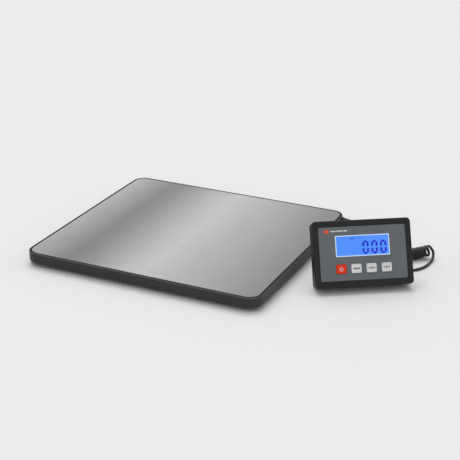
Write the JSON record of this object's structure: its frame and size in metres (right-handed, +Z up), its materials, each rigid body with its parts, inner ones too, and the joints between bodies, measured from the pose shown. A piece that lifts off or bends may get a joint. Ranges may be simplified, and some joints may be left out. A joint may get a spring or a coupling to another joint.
{
  "type": "platform shipping scale",
  "caption": "Low platform scale with a brushed steel plate and a tilted desk display on a curly cord.",
  "frame": {"origin": "on the floor, under the middle of the platform and display together", "axes": "+X to the right along the platform's front edge, towards the display; +Y to the rear; +Z up"},
  "size_m": [0.4784, 0.304, 0.0828],
  "materials": {
    "steel_plate": "brushed across the width",
    "platform_plastic": "fine-textured black",
    "zinc_steel": "zinc plated",
    "circuit_board": "solder mask",
    "wire": "satin",
    "screw_steel": "plated",
    "screw_dark": "blackened",
    "cord_rubber": "satin",
    "bezel_plastic": "fine-textured",
    "cover_plastic": "fine-textured",
    "panel_grey": "printed overlay",
    "clear_window": "clear",
    "lcd_blue": "lit",
    "white_plastic": "satin",
    "chip_black": "satin",
    "key_red": "satin",
    "key_grey": "satin",
    "battery_skin": "printed film",
    "contact_metal": "nickel",
    "bracket_plastic": "satin",
    "foot_plastic": "satin",
    "foot_rubber": "matte"
  },
  "bodies": {
    "base": {"foot_front_left": "foot_plastic", "foot_front_right": "foot_plastic", "foot_rear_left": "foot_plastic", "foot_rear_right": "foot_plastic", "foot_pad_front_left": "foot_rubber", "foot_pad_front_right": "foot_rubber", "foot_pad_rear_left": "foot_rubber", "foot_pad_rear_right": "foot_rubber", "front_bezel": "bezel_plastic", "rear_cover": "cover_plastic", "front_panel": "panel_grey", "lcd_window": "clear_window", "lcd_glass": "lcd_blue", "lcd_backlight": "white_plastic", "main_board": "circuit_board", "board_chips": "chip_black", "buzzer": "chip_black", "tact_switches": "screw_steel", "battery_1": "battery_skin", "battery_2": "battery_skin", "battery_3": "battery_skin", "battery_contacts": "contact_metal", "stand_hinge_pin": "screw_steel", "housing_screws": "screw_dark", "display_cord_boot": "cord_rubber", "cord_lead_platform": "cord_rubber", "cord_coil": "cord_rubber", "cord_lead_display": "cord_rubber"},
    "deck": {"weighing_plate": "steel_plate", "platform_shell": "platform_plastic", "base_cover": "platform_plastic", "stiffener_bars": "zinc_steel", "load_cell_front_left": "zinc_steel", "load_cell_front_right": "zinc_steel", "load_cell_rear_left": "zinc_steel", "load_cell_rear_right": "zinc_steel", "load_cell_wires": "wire", "cell_bracket_front_left": "bracket_plastic", "cell_bracket_front_right": "bracket_plastic", "cell_bracket_rear_left": "bracket_plastic", "cell_bracket_rear_right": "bracket_plastic", "junction_board": "circuit_board", "base_screws": "screw_steel", "bracket_screws": "screw_steel", "platform_cord_boot": "cord_rubber"},
    "power_key": {"key_power": "key_red"},
    "mode_key": {"key_mode": "key_grey"},
    "hold_key": {"key_hold": "key_grey"},
    "tare_key": {"key_tare": "key_grey"},
    "battery_door": {"battery_door": "cover_plastic"},
    "stand": {"stand_leg": "cover_plastic"}
  },
  "joints": [
    {"name": "platform_press", "type": "slide", "parent": "base", "child": "deck", "axis": [0, 0, -1], "range_m": [0, 0.0004], "stiffness_N_per_m": 150000, "springref_m": -0.0003, "deforming": ["load_cell_front_left", "load_cell_front_right", "load_cell_rear_left", "load_cell_rear_right"]},
    {"name": "power_key_press", "type": "slide", "parent": "base", "child": "power_key", "axis": [-0.4753, 0.746, -0.4664], "range_m": [0, 0.00045], "stiffness_N_per_m": 400, "springref_m": -0.0004},
    {"name": "mode_key_press", "type": "slide", "parent": "base", "child": "mode_key", "axis": [-0.4753, 0.746, -0.4664], "range_m": [0, 0.00045], "stiffness_N_per_m": 400, "springref_m": -0.0004},
    {"name": "hold_key_press", "type": "slide", "parent": "base", "child": "hold_key", "axis": [-0.4753, 0.746, -0.4664], "range_m": [0, 0.00045], "stiffness_N_per_m": 400, "springref_m": -0.0004},
    {"name": "tare_key_press", "type": "slide", "parent": "base", "child": "tare_key", "axis": [-0.4753, 0.746, -0.4664], "range_m": [0, 0.00045], "stiffness_N_per_m": 400, "springref_m": -0.0004},
    {"name": "battery_door_slide", "type": "slide", "parent": "base", "child": "battery_door", "axis": [-0.8434, -0.5373, 0], "range_m": [0, 0.03]},
    {"name": "stand_fold", "type": "hinge", "parent": "base", "child": "stand", "pos_m": [0.16328, -0.00388, 0.05322], "axis": [-0.8434, -0.5373, 0], "range_deg": [0, 44.69]}
  ]
}
